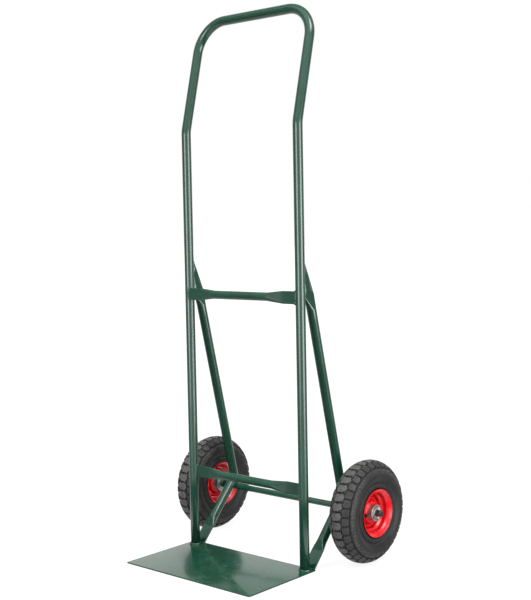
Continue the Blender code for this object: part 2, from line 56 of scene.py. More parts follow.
# directions and places that everything is set out from
toRight, toBack, toTop = Vector((1, 0, 0)), Vector((0, 1, 0)), Vector((0, 0, 1))
for joint in frame["joints"]:
    if joint["name"].startswith("wheel_") and "left" not in joint["name"]:
        wheelMiddle = Vector(joint["pos_m"])
axleMiddle = Vector((0, wheelMiddle.y, wheelMiddle.z))
plateLow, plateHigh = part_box("toe_plate")
uprightX = middleOf("rear_brace_right").x
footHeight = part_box("main_tube")[0].z
uprightRadius = 0.0125
axleRadius = 0.0083
fitGap = 0.0003             # left open between pieces that touch


# modelling helpers

def openUp():
    bpy.ops.object.mode_set(mode="EDIT")


def shut():
    bpy.ops.object.mode_set(mode="OBJECT")


def chooseAll():
    bpy.ops.mesh.select_mode(type="VERT")
    bpy.ops.mesh.select_all(action="SELECT")


def chooseOnly(*things):
    if bpy.context.object and bpy.context.object.mode != "OBJECT":
        shut()
    bpy.ops.object.select_all(action="DESELECT")
    for thing in things:
        thing.select_set(True)
    if things:
        bpy.context.view_layer.objects.active = things[0]


def newPiece(name):
    # the object just added, with its place moved into its mesh, opened for editing
    piece = bpy.context.object
    piece.name = name
    piece.data.name = name
    bpy.ops.object.transform_apply(location=True, rotation=True, scale=True)
    openUp()
    return piece


def pick(piece, wanted, mode="VERT"):
    # edit mode: select the corners, edges or faces whose middle passes the test
    bpy.ops.mesh.select_mode(type=mode)
    bpy.ops.mesh.select_all(action="DESELECT")
    shape = bmesh.from_edit_mesh(piece.data)
    group = {"VERT": shape.verts, "EDGE": shape.edges, "FACE": shape.faces}[mode]
    for part in group:
        if wanted(part):
            part.select_set(True)
    bmesh.update_edit_mesh(piece.data)


def closeUp(piece, smoothAngle=35):
    # leave edit mode with a clean, outward, smooth-shaded mesh
    chooseAll()
    bpy.ops.mesh.remove_doubles(threshold=1e-6)
    bpy.ops.mesh.normals_make_consistent(inside=False)
    shut()
    chooseOnly(piece)
    bpy.ops.object.shade_smooth_by_angle(angle=radians(smoothAngle))
    return piece


def applyModifier(piece, kind, **settings):
    chooseOnly(piece)
    modifier = piece.modifiers.new(kind.lower(), kind)
    for key, value in settings.items():
        setattr(modifier, key, value)
    bpy.ops.object.modifier_apply(modifier=modifier.name)


def giveWall(piece, wall, offset=-1.0):
    applyModifier(piece, "SOLIDIFY", thickness=wall, offset=offset, use_even_offset=True)


def cutWithRod(piece, middle, reach, radius, corners=64):
    # cope a piece to a round bar that runs reach both ways from its middle
    chooseOnly()
    turn = toTop.rotation_difference(reach).to_euler()
    bpy.ops.mesh.primitive_cylinder_add(vertices=corners, radius=radius, depth=2 * reach.length,
                                        location=middle, rotation=turn)
    rod = bpy.context.object
    applyModifier(piece, "BOOLEAN", operation="DIFFERENCE", object=rod, solver="EXACT")
    chooseOnly(rod)
    bpy.ops.object.delete()
    chooseOnly(piece)


def startLine(name, place):
    # a single corner to draw an outline from
    chooseOnly()
    bpy.ops.mesh.primitive_plane_add(size=0.001)
    piece = newPiece(name)
    bpy.ops.mesh.merge(type="CENTER")
    bpy.ops.transform.translate(value=place)
    return piece


def drawLine(points):
    for last, point in zip(points, points[1:]):
        bpy.ops.mesh.extrude_vertices_move(TRANSFORM_OT_translate={"value": point - last})


def joinEnds(piece, first, last):
    ends = [first, last]
    pick(piece, lambda corner: min((corner.co - end).length for end in ends) < 1e-7)
    bpy.ops.mesh.edge_face_add()


def turned(name, outline, middle, steps, closed=True, smoothAngle=35):
    # lathe: an outline of (along the axle, radius) points spun about the axle's line
    corners = [middle + Vector((along, 0, radius)) for along, radius in outline]
    piece = startLine(name, corners[0])
    drawLine(corners)
    if closed:
        joinEnds(piece, corners[0], corners[-1])
    bpy.ops.mesh.select_all(action="SELECT")
    bpy.ops.mesh.spin(steps=steps, angle=2 * pi, center=middle, axis=(1, 0, 0))
    return closeUp(piece, smoothAngle)


def wireAlong(name, points, thickness, loop=False, ripple=None, rounds=3):
    # a round wire or a weld bead: a drawn line made a curve, given a thickness, made mesh again
    piece = startLine(name, points[0])
    drawLine(points)
    if loop:
        joinEnds(piece, points[0], points[-1])
    shut()
    bpy.ops.object.convert(target="CURVE")
    piece = bpy.context.object
    piece.data.bevel_depth = thickness
    piece.data.bevel_resolution = rounds
    piece.data.use_fill_caps = not loop
    if ripple:
        for number, point in enumerate(piece.data.splines[0].points):
            point.radius = ripple(number)
    bpy.ops.object.convert(target="MESH")
    piece = bpy.context.object
    piece.name = name
    openUp()
    return closeUp(piece, 60)


def softened(points, radius, steps=4):
    # the same open outline with its inner corners rounded
    out = [points[0]]
    for before, corner, after in zip(points, points[1:], points[2:]):
        a, b, c = Vector(before), Vector(corner), Vector(after)
        reach = min(radius, (a - b).length * 0.45, (c - b).length * 0.45)
        first = b + (a - b).normalized() * reach
        last = b + (c - b).normalized() * reach
        for step in range(steps + 1):
            share = step / steps
            point = first * (1 - share) ** 2 + b * 2 * share * (1 - share) + last * share ** 2
            out.append(tuple(point))
    return out + [points[-1]]


pieces = []


def enter(piece, body, slot, *nodes):
    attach(piece, body)
    if nodes:
        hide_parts(*nodes)
    pieces.append((piece, slot))


def bothSides(piece, label, body, slot, *nodes):
    # the right-hand piece and its mirrored copy; {side} in a name is filled in
    chooseOnly(piece)
    bpy.ops.object.duplicate()
    copy = bpy.context.object
    openUp()
    bpy.ops.mesh.select_all(action="SELECT")
    bpy.ops.transform.resize(value=(-1, 1, 1), center_override=(0, 0, 0))
    bpy.ops.mesh.flip_normals()
    shut()
    for side, thing in (("right", piece), ("left", copy)):
        thing.name = thing.data.name = label + side.title()
        enter(thing, body.format(side=side), slot, *[node.format(side=side) for node in nodes])


# frame tube

frameTube = {
    "radius": 0.01248,
    "wall": 0.0015,
    "sides": 40,
    "kneeHeight": 1.119,
    "handleRise": 0.289,
    "handleSetback": 0.070,
    "kneeBend": 0.075,
    "cornerBend": 0.082,
    "kneeSteps": 8,
    "cornerSteps": 28,
    "wrinkle": 0.00035,        # how deep the inside of each corner bend is rippled
    "wrinkleInset": 0.004,     # how far inside the bend's line the ripples start
    "waves": ((34, 0.0, 1.0), (53, 1.3, 0.6)),      # how often, how late and how high
}


def makeFrameTube():
    size = frameTube
    tilt = atan2(size["handleSetback"], size["handleRise"])
    kneeCut = size["kneeBend"] * tan(tilt / 2)
    slope = hypot(size["handleSetback"], size["handleRise"])
    arm = slope - kneeCut - size["cornerBend"]
    kneeStart = size["kneeHeight"] - kneeCut
    alongArm = Vector((0, sin(tilt), cos(tilt)))
    across = Vector((0, cos(tilt), -sin(tilt)))   # square to the tilted handle
    chooseOnly()
    bpy.ops.mesh.primitive_circle_add(vertices=size["sides"], radius=size["radius"], fill_type="NOTHING",
                                      location=(-uprightX, 0, footHeight))
    tube = newPiece("frameTube")
    place = Vector((-uprightX, 0, footHeight))

    def push(step, times):
        nonlocal place
        for _ in range(times):
            bpy.ops.mesh.extrude_edges_move(TRANSFORM_OT_translate={"value": step / times})
        place = place + step

    def bend(centre, axis, angle, steps):
        nonlocal place
        bpy.ops.mesh.spin(steps=steps, angle=-angle, center=centre, axis=axis)   # it turns the other way
        place = centre + Matrix.Rotation(angle, 3, axis) @ (place - centre)

    kneeAxis = -toRight
    push(toTop * (kneeStart - footHeight), 6)
    bend(place + toBack * size["kneeBend"], kneeAxis, tilt, size["kneeSteps"])
    push(alongArm * arm, 2)
    corner = toRight * size["cornerBend"]
    bend(place + corner, across, pi / 2, size["cornerSteps"])
    push(toRight * 2 * (uprightX - size["cornerBend"]), 2)
    bend(place - alongArm * size["cornerBend"], across, pi / 2, size["cornerSteps"])
    push(-alongArm * arm, 2)
    bend(place + (Matrix.Rotation(tilt, 3, kneeAxis) @ toBack * size["kneeBend"]),
         -kneeAxis, tilt, size["kneeSteps"])
    push(toTop * (footHeight - kneeStart), 6)
    closeUp(tube)

    # the inside of each corner bend is lightly crumpled, as a bent tube's is
    inside = size["cornerBend"] - size["wrinkleInset"]
    top = Vector((0, size["handleSetback"], size["kneeHeight"] + size["handleRise"]))
    for corner in tube.data.vertices:
        offset = corner.co - top
        side = copysign(1, corner.co.x)
        centre = toRight * side * (uprightX - size["cornerBend"]) - alongArm * size["cornerBend"]
        flat = offset - centre
        outward, upward = flat.x * side, flat.dot(alongArm)
        reach = hypot(outward, upward)
        if outward > 0 and upward > 0 and reach < inside:
            inner = (inside - reach) / size["radius"]
            turn = atan2(upward, outward)
            wave = sum(high * sin(turn * often + late * side) for often, late, high in size["waves"])
            depth = size["wrinkle"] * inner * wave * sin(2 * turn) ** 2
            away = (toRight * side * outward + alongArm * upward).normalized()
            corner.co -= away * depth
    giveWall(tube, size["wall"])
    enter(tube, "frame", "green_paint", "main_tube")
    print("stage: frame tube, ends at", [round(value, 4) for value in place])


makeFrameTube()


# toe plate

toePlate = {
    "cornerRadius": 0.004,
    "edgeRadius": 0.0005,
}


def makeToePlate():
    size = toePlate
    chooseOnly()
    span = plateHigh - plateLow
    bpy.ops.mesh.primitive_cube_add(size=1, location=(plateLow + plateHigh) / 2, scale=span)
    plate = newPiece("toePlate")

    def standing(edge):
        return abs(edge.verts[0].co.z - edge.verts[1].co.z) > span.z / 2

    def roundTheFaces(edge):
        facing = [abs(face.normal.z) for face in edge.link_faces]
        return len(facing) == 2 and sum(facing) > 0.9 and facing[0] * facing[1] < 0.1

    pick(plate, standing, "EDGE")
    bpy.ops.mesh.bevel(offset=size["cornerRadius"], segments=6, affect="EDGES")
    pick(plate, roundTheFaces, "EDGE")
    bpy.ops.mesh.bevel(offset=size["edgeRadius"], segments=3, affect="EDGES")
    closeUp(plate, 30)
    enter(plate, "frame", "green_paint", "toe_plate")


makeToePlate()
print("stage: toe plate")


# straight tubes with pressed ends

pressed = {
    "sides": 40,
    "slot": 0.0006,            # what is left open inside a pressed end
    "dent": 0.0004,            # how far the press marks sink in
    "dentEdge": 0.0016,        # over what width they do
    "dentRest": 0.15,          # and what share of them stays where the tube is flat
}


def tubeSection(size, squeeze=1.0):
    # half the width and half the height of a tube that is squeezed by a share
    wall = size["wall"]
    roundHalf = size["radius"] - wall / 2
    flatHalf = (wall + pressed["slot"]) / 2
    high = roundHalf + (flatHalf - roundHalf) * squeeze
    wide = high + (roundHalf - high) * pi / 2
    return wide + wall / 2, high + wall / 2


def pressedTube(name, start, end, wide, size, flats):
    # a round tube drawn along its length, then squeezed towards its ends; flats are the pressed lengths
    length = (end - start).length
    taper = size["taper"]
    stations = {0.0, length}
    for flat, base, way in ((flats[0], 0, 1), (flats[1], length, -1)):
        if flat:
            marks = [flat * 0.5, flat] + [flat + taper * step / 10 for step in range(1, 11)]
            stations |= {base + way * mark for mark in marks}
    stations |= {length * step / 8 for step in range(1, 8)
                 if flats[0] + taper < length * step / 8 < length - flats[1] - taper}
    stations = sorted(stations)
    chooseOnly()
    bpy.ops.mesh.primitive_circle_add(vertices=pressed["sides"], radius=size["radius"],
                                      fill_type="NOTHING")
    tube = newPiece(name)
    for last, station in zip(stations, stations[1:]):
        bpy.ops.mesh.extrude_edges_move(TRANSFORM_OT_translate={"value": (0, 0, station - last)})
    shut()

    def squeezeAt(along):
        ends = ((flats[0], along), (flats[1], length - along))
        return max(min(1.0, max(0.0, 1 - (far - flat) / taper)) for flat, far in ends if flat)

    heading = (end - start).normalized()
    third = heading.cross(wide).normalized()
    turn = Matrix((third.cross(heading), third, heading)).transposed()
    for corner in tube.data.vertices:
        angle = atan2(corner.co.y, corner.co.x)
        amount = squeezeAt(corner.co.z)
        halfWide, halfHigh = tubeSection(size, amount)
        flatHalf = max(0.0, halfWide - halfHigh)
        # corners spread evenly round the pressed section
        around = angle / (2 * pi) * (4 * flatHalf + 2 * pi * halfHigh)
        quarter = flatHalf + pi * halfHigh / 2
        side = copysign(1, cos(angle))
        fromEdge = abs(around) if cos(angle) > 0 else 2 * quarter - abs(around)
        if fromEdge < pi * halfHigh / 2:
            bow = fromEdge / halfHigh if halfHigh else 0
            x, y = side * (flatHalf + halfHigh * cos(bow)), halfHigh * sin(bow)
        else:
            x, y = side * (flatHalf - (fromEdge - pi * halfHigh / 2)), halfHigh
            edge = min(1.0, (flatHalf - abs(x)) / pressed["dentEdge"])
            y -= pressed["dent"] * max(0, edge) * min(1.0, 4 * amount * (1 - amount) + pressed["dentRest"])
        y = copysign(y, sin(angle))
        corner.co = start + turn @ Vector((x, y, corner.co.z))
    openUp()
    return tube


def planeCut(place, across, trim=False):
    # cut the whole open mesh with a plane; trimming drops what lies beyond it
    bpy.ops.mesh.select_all(action="SELECT")
    bpy.ops.mesh.bisect(plane_co=place, plane_no=across, clear_outer=trim)


crossbars = {
    "upper": {"node": "crossbar_upper", "height": 0.687, "forward": 0.009},
    "lower": {"node": "crossbar_lower", "height": 0.205, "forward": 0.0},
    "radius": 0.011,
    "wall": 0.0015,
    "flat": 0.040,
    "taper": 0.052,
}


def makeCrossbar(which):
    size, bar = crossbars, crossbars[which]
    flat = size["flat"] + (frameTube["radius"] ** 2 - bar["forward"] ** 2) ** 0.5
    start = Vector((-uprightX, -bar["forward"], bar["height"]))
    end = Vector((uprightX, -bar["forward"], bar["height"]))
    tube = pressedTube(f"crossbar{which.title()}", start, end, toTop, size, (flat, flat))
    for side in (-1, 1):
        planeCut(toRight * side * (uprightX - fitGap), toRight * side, True)
    closeUp(tube)
    giveWall(tube, size["wall"])
    for side in (-1, 1):
        middle = Vector((side * uprightX, 0, bar["height"]))
        cutWithRod(tube, middle, toTop * 0.05, frameTube["radius"] + fitGap)
    enter(tube, "frame", "green_paint", bar["node"])


makeCrossbar("upper")
makeCrossbar("lower")
print("stage: crossbars")


rearBrace = {
    "radius": 0.0125,
    "wall": 0.0015,
    "behindAxle": 0.007,
    "topHeight": 0.783,
    "flat": 0.093,
    "taper": 0.036,
}
lowerBrace = {
    "radius": 0.0125,
    "wall": 0.0015,
    "footInset": 0.001,
    "topAbove": 0.025,
    "flat": 0.050,
    "taper": 0.028,
}


def bracePoint(height):
    foot = axleMiddle.y + rearBrace["behindAxle"]
    share = (height - axleMiddle.z) / (rearBrace["topHeight"] - axleMiddle.z)
    return Vector((uprightX, foot + (uprightRadius - foot) * share, height))


def copeToAxle(piece):
    cutWithRod(piece, axleMiddle + toRight * uprightX, toRight * 0.03, axleRadius + fitGap)


def makeRearBrace():
    size = rearBrace
    start = bracePoint(axleMiddle.z - size["radius"])
    end = bracePoint(size["topHeight"] + size["radius"])
    slant = (end - start).length / (end.z - start.z)
    flatHeight = size["topHeight"] - size["flat"]
    flat = (end.z - flatHeight) * slant
    brace = pressedTube("rearBrace", start, end, toBack, size, (0, flat))
    behind = Vector((uprightX, uprightRadius + fitGap, size["topHeight"]))
    planeCut(behind, -toBack, True)
    halfWide = tubeSection(size)[0]
    line = behind - (bracePoint(flatHeight) + toBack * halfWide)
    planeCut(behind, Vector((0, line.z, -line.y)), True)
    planeCut(axleMiddle, -toTop, True)
    closeUp(brace)
    giveWall(brace, size["wall"])
    copeToAxle(brace)
    bothSides(brace, "rearBrace", "frame", "green_paint", "rear_brace_{side}")


def makeLowerBrace():
    size = lowerBrace
    foot = Vector((uprightX, plateHigh.y - size["footInset"], plateHigh.z))
    meeting = bracePoint(axleMiddle.z + size["topAbove"])
    heading = (meeting - foot).normalized()
    start = foot - heading * size["radius"]
    stay = pressedTube("lowerBrace", start, meeting, toRight, size, (size["flat"] + size["radius"], 0))
    planeCut(toTop * (plateHigh.z + fitGap), -toTop, True)
    closeUp(stay)
    giveWall(stay, size["wall"])
    low, high = bracePoint(axleMiddle.z - 0.05), bracePoint(meeting.z + 0.10)
    cutWithRod(stay, (low + high) / 2, (high - low) / 2, rearBrace["radius"] + fitGap)
    copeToAxle(stay)
    bothSides(stay, "lowerBrace", "frame", "green_paint", "lower_brace_{side}")


makeRearBrace()
makeLowerBrace()
print("stage: braces")


# axle and what sits on it

axleFittings = {
    "axleEnd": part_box("axle")[1].x,
    "chamfer": 0.0012,
    "pinHole": 0.0024,
    "steps": 64,
    "soft": 0.0005,            # rounding of the rings' edges
    "rings": (("axleSpacer", "axle_spacer", "green_paint", 0.0111),
              ("washerInner", "washer_inner", "zinc_steel", 0.0145),
              ("washerOuter", "washer_outer", "zinc_steel", 0.0145)),
}


def ringOutline(start, end, inner, outer):
    corners = [(start, inner), (end, inner), (end, outer), (start, outer), (start, inner)]
    return softened(corners, axleFittings["soft"], 3)[:-1]


def makeAxle():
    size = axleFittings
    end, chamfer = size["axleEnd"], size["chamfer"]
    half = [(end, 0), (end, axleRadius - chamfer - 0.0004), (end - 0.0003, axleRadius - chamfer),
            (end - chamfer, axleRadius - 0.0002), (end - chamfer - 0.0004, axleRadius)]
    outline = [(-along, radius) for along, radius in half] + half[::-1]
    axle = turned("axleBar", outline, axleMiddle, size["steps"], closed=False)
    pinX = middleOf("split_pin_right").x
    for side in (-1, 1):
        cutWithRod(axle, axleMiddle + toRight * side * pinX, toTop * 0.02, size["pinHole"], 24)
    enter(axle, "frame", "green_paint", "axle")


def makeAxleRings():
    for label, node, slot, outer in axleFittings["rings"]:
        low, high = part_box(f"{node}_right")
        outline = ringOutline(low.x, high.x, axleRadius + fitGap, outer)
        ring = turned(label, outline, axleMiddle, axleFittings["steps"])
        bothSides(ring, label, "frame", slot, f"{node}_{{side}}")


splitPin = {
    "wire": 0.0009,
    "leg": 0.0045,
    "legGap": 0.00015,
    "spread": 0.0027,
    "eye": 0.0025,
}


def makeSplitPins():
    size = splitPin
    leg = size["wire"] + size["legGap"]
    foot = axleRadius + size["leg"]
    eyeHeight = axleRadius + size["wire"] + fitGap + 1.5 * size["eye"]
    half = [(size["spread"], -foot), (leg * 1.3, -axleRadius - size["wire"]),
            (leg, axleRadius - size["wire"])]
    eye = []
    for step in range(17):
        turn = -pi / 4 + 1.5 * pi * step / 16
        eye.append((size["eye"] * cos(turn), eyeHeight + size["eye"] * sin(turn)))
    route = half + eye + [(-across, up) for across, up in reversed(half)]
    place = axleMiddle + toRight * middleOf("split_pin_right").x
    points = [place + Vector((0, across, up)) for across, up in route]
    pin = wireAlong("splitPin", points, size["wire"])
    bothSides(pin, "splitPin", "frame", "zinc_steel", "split_pin_{side}")


makeAxle()
makeAxleRings()
makeSplitPins()
print("stage: axle, spacers, washers and split pins")


# tyres

tyre = {
    "radius": 0.1319,
    "halfWidth": 0.0400,
    "sectionMiddle": 0.09165,   # radius at which the tyre is widest
    "treadDepth": 0.0040,
    "blockRows": 34,
    "steps": 136,
    "wall": (0.0330, 0.0866, 0.0350),   # half width, middle and height of the hollow inside
    # section angles from the crown: where the tread's floor rises, where it ends, and the sidewall's hollow
    "shoulderBand": (0.90, 0.96),
    "bandEnd": (1.22, 1.32),
    "hollowFrom": (1.45, 1.85),
    "hollow": 0.0034,
    "ribs": ((1.56, 0.0004, 0.022), (1.72, 0.0004, 0.016)),
    "bead": [(0.0346, 0.0738), (0.0349, 0.0715), (0.0352, 0.0690), (0.0348, 0.0663), (0.0338, 0.0643),
             (0.0326, 0.0634), (0.0318, 0.0622), (0.0305, 0.0592), (0.0278, 0.0552), (0.0235, 0.0525),
             (0.0180, 0.0525)],
    # half of each block's outline, in mm: across from the crown, and round the wheel
    "middleBlock": [(15.8, 2.6), (13.2, 5.2), (12.2, 10.4), (4.0, 10.4), (3.0, 8.8), (-3.0, 8.8),
                    (-4.0, 10.4), (-12.2, 10.4), (-13.2, 5.2), (-15.8, 2.6)],
    "shoulderBlock": [(16.6, 7.6), (20.0, 9.6), (29.6, 9.4), (33.6, 7.2), (35.0, 3.4)],
    "shoulderNub": [(41.0, 4.0), (50.0, 3.4), (53.0, 1.8)],
    "blockDepth": 0.0046,
    "nubDepth": 0.0034,
    "slice": 0.0036,            # how finely the blocks are cut to follow the tyre's round
}


def ramp(value, low, high):
    share = min(1.0, max(0.0, (value - low) / (high - low)))
    return share * share * (3 - 2 * share)


def onSection(across, height):
    # a place on the tyre's section: distance across from the crown, and height over its outer shape
    tall = tyre["radius"] - tyre["sectionMiddle"]
    turn = across / tyre["halfWidth"]
    return ((tyre["halfWidth"] + height) * sin(turn), tyre["sectionMiddle"] + (tall + height) * cos(turn))


def tyreOutline():
    size = tyre
    outside = []
    for step in range(-80, 81):
        turn = 2.02 * step / 80
        spot = abs(turn)
        floor = size["treadDepth"] * (1 - 0.55 * ramp(spot, *size["shoulderBand"]))
        drop = -0.0004 * ramp(spot, *size["bandEnd"])
        lift = sum(high * 2.718 ** (-((spot - at) / wide) ** 2) for at, high, wide in size["ribs"])
        hollow = size["hollow"] * ramp(spot, *size["hollowFrom"])
        outside.append(onSection(turn * size["halfWidth"], lift - floor - drop - hollow - 0.0001))
    inside = []
    wide, middle, tall = size["wall"]
    for step in range(25):
        turn = -2.25 + 4.5 * step / 24
        inside.append((wide * sin(turn), middle + tall * cos(turn)))
    left = [(-along, radius) for along, radius in size["bead"]]
    return left[::-1] + outside + size["bead"] + inside[::-1]


def addBlock(piece, half, mirror=1, along=0.0, depth=tyre["blockDepth"], slope=0.90):
    # edit mode, tread laid out flat: X runs across it, Y round the wheel, Z out of the rubber
    outline = half + [(x, -y) for x, y in reversed(half)]
    bpy.ops.mesh.primitive_circle_add(vertices=len(outline), fill_type="NGON")
    shape = bmesh.from_edit_mesh(piece.data)
    corners = [corner for corner in shape.verts if corner.select]
    for corner, (x, y) in zip(corners, outline):
        corner.co = (mirror * x / 1000, along + y / 1000, -depth)
    bmesh.update_edit_mesh(piece.data)
    middle = (mirror * sum(x for x, y in outline) / len(outline) / 1000, along, 0)
    for up, shrink in ((depth * 0.80, 0.965), (depth * 0.20, slope / 0.965)):
        bpy.ops.mesh.extrude_region_move(TRANSFORM_OT_translate={"value": (0, 0, up)})
        bpy.ops.transform.resize(value=(shrink, shrink, 1), center_override=middle)


def makeTread():
    size = tyre
    pitch = 2 * pi * size["radius"] / size["blockRows"]
    chooseOnly()
    bpy.ops.mesh.primitive_plane_add(size=0.001)
    tread = newPiece("tread")
    bpy.ops.mesh.delete(type="VERT")
    addBlock(tread, size["middleBlock"], slope=0.93)
    for way in (-1, 1):
        addBlock(tread, size["shoulderBlock"], way, pitch / 2)
        for along in (0, pitch / 2):
            addBlock(tread, size["shoulderNub"], way, along, size["nubDepth"])
    for step in range(-13, 14):
        planeCut((step * size["slice"] + 0.0003, 0, 0), (1, 0, 0))
    for along in (0.0001, pitch / 2 + 0.0001):
        planeCut((0, along, 0), (0, 1, 0))
    shut()
    for corner in tread.data.vertices:
        along, out = onSection(corner.co.x, corner.co.z)
        turn = corner.co.y / size["radius"]
        corner.co = wheelMiddle + Vector((along, -out * sin(turn), out * cos(turn)))
    openUp()
    chooseAll()
    for _ in range(size["blockRows"] - 1):
        bpy.ops.mesh.duplicate()
        bpy.ops.transform.rotate(value=2 * pi / size["blockRows"], orient_axis="X",
                                 center_override=wheelMiddle)
    return closeUp(tread, 32)


def makeTyres():
    carcass = turned("tyre", tyreOutline(), wheelMiddle, tyre["steps"], smoothAngle=50)
    tread = makeTread()
    chooseOnly(carcass, tread)
    bpy.ops.object.join()
    bothSides(carcass, "tyre", "wheel_{side}", "tyre_rubber", "tyre_{side}")


makeTyres()
print("stage: tyres")


# rims

rim = {
    "sheet": 0.0018,
    "steps": 96,
    "outline": [(0.0155, 0.0211), (0.0155, 0.0262), (0.0100, 0.0292), (0.0042, 0.0312), (0.0042, 0.0335),
                (0.0074, 0.0352), (0.0074, 0.0378), (0.0030, 0.0395), (0.0011, 0.0420), (0.0042, 0.0438),
                (0.0100, 0.0442), (0.0150, 0.0492), (0.0172, 0.0503), (0.0255, 0.0507), (0.0300, 0.0545),
                (0.0334, 0.0598), (0.0347, 0.0609), (0.0357, 0.0603)],
    "roundness": 0.0022,
}


def makeRims():
    size = rim
    outline = softened(size["outline"], size["roundness"], 4)
    for face, label, node in ((1, "rimOutboard", "rim_outboard"), (-1, "rimInboard", "rim_inboard")):
        half = turned(label, [(face * along, radius) for along, radius in outline], wheelMiddle,
                      size["steps"], closed=False)
        giveWall(half, size["sheet"], 0.0)
        chooseOnly(half)
        openUp()
        closeUp(half, 40)
        bothSides(half, label, "wheel_{side}", "red_paint", node + "_{side}")


makeRims()
print("stage: rims")


# hub and bearings

hub = {
    "half": 0.030,
    "outer": 0.0208,
    "pocket": 0.0178,
    "pocketDepth": 0.0103,
    "shoulder": 0.0155,
    "steps": 72,
    "outerRace": (0.0150, 0.0175),
    "innerRace": (0.0086, 0.0108),
}


def makeHubs():
    size = hub
    half, deep = size["half"], size["half"] - size["pocketDepth"]
    corners = [(-half, size["outer"]), (half, size["outer"]), (half, size["pocket"]), (deep, size["pocket"]),
               (deep, size["shoulder"]), (-deep, size["shoulder"]), (-deep, size["pocket"]),
               (-half, size["pocket"]), (-half, size["outer"])]
    outline = softened(corners, 0.0005, 2)
    sleeve = turned("hubSleeve", outline[:-1], wheelMiddle, size["steps"])
    bothSides(sleeve, "hubSleeve", "wheel_{side}", "zinc_steel", "hub_sleeve_{side}")


def makeBearings():
    for place in ("outboard", "inboard"):
        low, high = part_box(f"bearing_outer_race_{place}_right")
        for race, body in (("outer", "wheel_{side}"), ("inner", "frame")):
            outline = ringOutline(low.x - wheelMiddle.x, high.x - wheelMiddle.x, *hub[race + "Race"])
            ring = turned("race", outline, wheelMiddle, hub["steps"])
            bothSides(ring, f"{race}Race{place.title()}", body, "bearing_steel",
                      f"bearing_{race}_race_{place}_{{side}}")


makeHubs()
makeBearings()
print("stage: hubs and bearings")


# valves

valve = {
    "stem": 0.0038,
    "offset": 0.013,
    "below": 0.038,
    "bend": 0.0075,
    "root": 0.0492,
    "swell": [1.5, 1.12],       # the stem is thicker where it leaves the rim
    "capRadius": 0.0046,
    "capSides": 40,             # every fourth side is a groove
    "groove": 0.0004,
    "grooveEdge": 0.00015,
    "capLip": 0.0006,
    "capDish": 0.0002,
}


def makeValves():
    size = valve
    route = [(size["offset"], size["root"]), (size["offset"], size["below"] + size["bend"] + 0.0015)]
    for step in range(9):
        turn = pi / 2 * step / 8
        route.append((size["offset"] + size["bend"] * (1 - cos(turn)),
                      size["below"] + size["bend"] * (1 - sin(turn))))
    route.append((size["offset"] + size["bend"] + 0.002, size["below"]))
    points = [wheelMiddle + Vector((along, -radius, 0)) for along, radius in route]
    thick = size["swell"] + [1.0] * len(points)
    stem = wireAlong("valveStem", points, size["stem"], ripple=lambda number: thick[number], rounds=5)
    bothSides(stem, "valveStem", "wheel_{side}", "tube_rubber", "valve_stem_{side}")

    low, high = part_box("valve_cap_right")
    axis = (low + high) / 2
    chooseOnly()
    bpy.ops.mesh.primitive_cylinder_add(vertices=size["capSides"], radius=size["capRadius"],
                                        depth=high.x - low.x, location=axis, rotation=(0, pi / 2, 0))
    cap = newPiece("valveCap")
    capMiddle = Vector((0, axis.y, axis.z))

    def groove(face):
        if abs(face.normal.x) > 0.5:
            return False
        spot = face.calc_center_median() - capMiddle
        return round((atan2(spot.z, spot.y) + 2 * pi) / (2 * pi) * size["capSides"]) % 4 == 0

    pick(cap, groove, "FACE")
    bpy.ops.mesh.inset(thickness=size["grooveEdge"], depth=-size["groove"])
    pick(cap, lambda face: face.normal.x > 0.9, "FACE")
    bpy.ops.mesh.inset(thickness=size["capLip"])
    bpy.ops.transform.translate(value=(-size["capDish"], 0, 0))
    closeUp(cap, 30)
    bothSides(cap, "valveCap", "wheel_{side}", "cap_plastic", "valve_cap_{side}")


makeValves()
print("stage: valves")


# weld beads

weld = {
    "bead": 0.0031,
    "step": 0.0024,
    "ripple": 0.28,
    "sunk": 0.0015,            # how far a bead on the plate reaches into it
    "proud": 0.0006,           # how far a bead's line stands off what it lies on
    "touch": 0.0004,           # and how far off the round of a tube
    "footRadius": 0.0128,
    "footApart": 0.0070,       # from the brace's middle to the beads round the axle
}


def alongPath(points, step, loop=False):
    # the same path with points at even steps
    if loop:
        points = points + [points[0]]
    out, carry = [points[0]], 0.0
    for last, point in zip(points, points[1:]):
        span = (point - last).length
        far = step - carry
        while far < span:
            out.append(last.lerp(point, far / span))
            far += step
        carry = span - (far - step)
    if loop and (out[-1] - out[0]).length < step * 0.6:
        out.pop()
    return out


def makeBead(label, path, phase, loop=False, scale=1.0):
    points = alongPath(path, weld["step"], loop)

    def swell(number):
        return 1 + weld["ripple"] * sin(number * 2.1 + phase) + 0.10 * sin(number * 0.7)

    bead = wireAlong(label, points, weld["bead"] * scale, loop, swell, 2)
    for corner in bead.data.vertices:
        corner.co.z = max(corner.co.z, plateHigh.z - weld["sunk"])
    bothSides(bead, f"weld{label}", "frame", "green_paint")


def circlePath(centre, first, second, radius, start=0.0, end=2 * pi):
    count = 41 if start else 40
    turns = [start + (end - start) * step / 40 for step in range(count)]
    return [centre + first * radius * cos(turn) + second * radius * sin(turn) for turn in turns]


